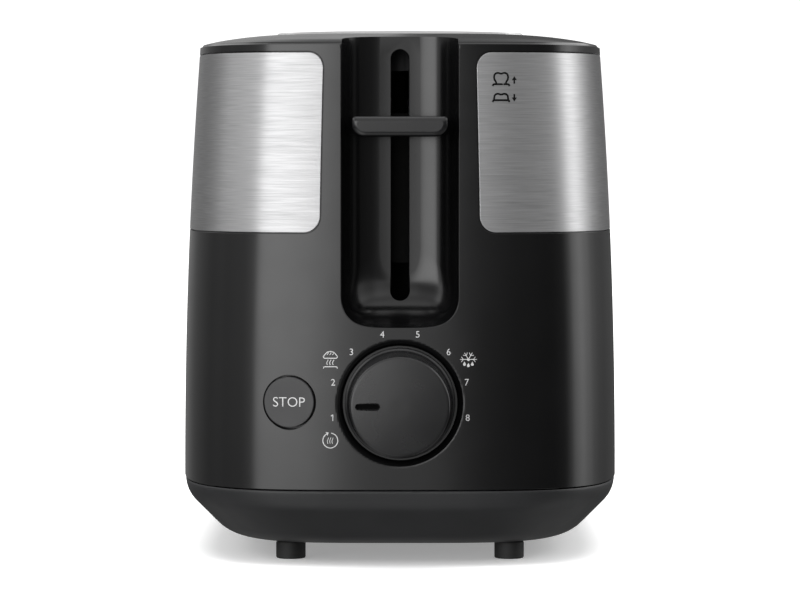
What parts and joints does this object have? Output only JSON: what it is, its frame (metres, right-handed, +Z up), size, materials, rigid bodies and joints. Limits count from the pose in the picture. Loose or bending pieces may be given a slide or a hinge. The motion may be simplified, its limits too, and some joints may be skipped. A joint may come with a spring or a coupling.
{
  "type": "pop up toaster",
  "caption": "Pop up toaster with long bread slots, a sprung lift lever in a front recess, a browning dial, a stop button, brushed steel side panels and a crumb tray.",
  "frame": {"origin": "bottom centre of the bounding box, on the surface that the feet stand on", "axes": "+Z up; -Y is the lever end, +Y the rear; +X is to the right seen from the lever end"},
  "size_m": [0.1684, 0.3, 0.201],
  "materials": {
    "housing": "black moulded plastic, satin gloss",
    "base": "charcoal moulded plastic, fine texture",
    "control": "black control plastic",
    "dial": "dark grey dial plastic",
    "brushed_steel": "horizontal brushed grain",
    "bright_steel": "fine brushed, bright",
    "galvanised": "galvanised sheet",
    "pressed_steel": "dull pressed steel",
    "blackened_steel": "black oxide steel, slightly oily",
    "wire": "plated wire",
    "mica": "mica board with heating ribbon",
    "iron": "bare iron",
    "copper": "enamelled copper winding",
    "brass": "spring brass",
    "circuit": "green circuit board",
    "component": "black component body",
    "rubber": "black rubber"
  },
  "bodies": {
    "root": {"outer_housing": "housing", "side_panel_left": "brushed_steel", "side_panel_right": "brushed_steel", "top_plate": "bright_steel", "lift_spring": "bright_steel", "cord_inlet": "rubber", "base_tray": "base", "foot_front_left": "rubber", "foot_front_right": "rubber", "foot_rear_left": "rubber", "foot_rear_right": "rubber", "base_screw_front_left": "galvanised", "base_screw_front_right": "galvanised", "base_screw_rear_left": "galvanised", "base_screw_rear_right": "galvanised", "guide_rod_nut": "galvanised", "chassis_front_plate": "galvanised", "chassis_rear_plate": "galvanised", "reflector_left": "galvanised", "reflector_right": "galvanised", "heater_board_left": "mica", "heater_board_centre": "mica", "heater_board_right": "mica", "rod_bracket_upper": "pressed_steel", "rod_bracket_lower": "pressed_steel", "guide_rod": "blackened_steel", "magnet_core": "iron", "magnet_coil": "copper", "contact_block": "component", "potentiometer": "component", "stop_switch": "component", "contact_blade_left": "brass", "contact_blade_right": "brass", "control_board": "circuit", "board_screw_lower_left": "galvanised", "board_screw_lower_right": "galvanised", "board_screw_upper_left": "galvanised", "board_screw_upper_right": "galvanised"},
    "carriage": {"carriage": "blackened_steel", "armature": "iron", "lever_knob": "control", "bread_rack_left": "wire", "bread_rack_right": "wire"},
    "dial": {"browning_knob": "dial", "potentiometer_shaft": "galvanised"},
    "stop_button": {"stop_button": "control"},
    "crumb_tray": {"crumb_tray": "galvanised", "crumb_tray_grip": "base"},
    "bread_guide_left_inner": {"bread_guide_left_inner": "wire"},
    "bread_guide_left_outer": {"bread_guide_left_outer": "wire"},
    "bread_guide_right_inner": {"bread_guide_right_inner": "wire"},
    "bread_guide_right_outer": {"bread_guide_right_outer": "wire"}
  },
  "joints": [
    {"name": "lever_slide", "type": "slide", "parent": "root", "child": "carriage", "axis": [0, 0, 1], "range_m": [-0.058, 0.022], "stiffness_N_per_m": 120, "springref_m": 0.01422, "deforming": ["lift_spring"]},
    {"name": "dial_turn", "type": "hinge", "parent": "root", "child": "dial", "pos_m": [0, -0.13005, 0.0608], "axis": [0, 1, 0], "range_deg": [-27, 191]},
    {"name": "stop_press", "type": "slide", "parent": "root", "child": "stop_button", "axis": [0.1722, 0.9851, 0], "range_m": [0, 0.002], "stiffness_N_per_m": 800},
    {"name": "crumb_tray_slide", "type": "slide", "parent": "root", "child": "crumb_tray", "axis": [0, 1, 0], "range_m": [0, 0.19]},
    {"name": "guide_tilt_left_inner", "type": "hinge", "parent": "root", "child": "bread_guide_left_inner", "pos_m": [-0.01, 0, 0.04], "axis": [0, 1, 0], "range_deg": [-3, 1.2]},
    {"name": "guide_tilt_left_outer", "type": "hinge", "parent": "root", "child": "bread_guide_left_outer", "pos_m": [-0.034, 0, 0.04], "axis": [0, 1, 0], "range_deg": [-1.2, 3]},
    {"name": "guide_tilt_right_inner", "type": "hinge", "parent": "root", "child": "bread_guide_right_inner", "pos_m": [0.01, 0, 0.04], "axis": [0, 1, 0], "range_deg": [-1.2, 3]},
    {"name": "guide_tilt_right_outer", "type": "hinge", "parent": "root", "child": "bread_guide_right_outer", "pos_m": [0.034, 0, 0.04], "axis": [0, 1, 0], "range_deg": [-3, 1.2]}
  ],
  "couplings": [
    {"joint": "guide_tilt_left_inner", "follows": "lever_slide", "rad_per_m": 0.9},
    {"joint": "guide_tilt_left_outer", "follows": "lever_slide", "rad_per_m": -0.9},
    {"joint": "guide_tilt_right_inner", "follows": "lever_slide", "rad_per_m": -0.9},
    {"joint": "guide_tilt_right_outer", "follows": "lever_slide", "rad_per_m": 0.9}
  ]
}
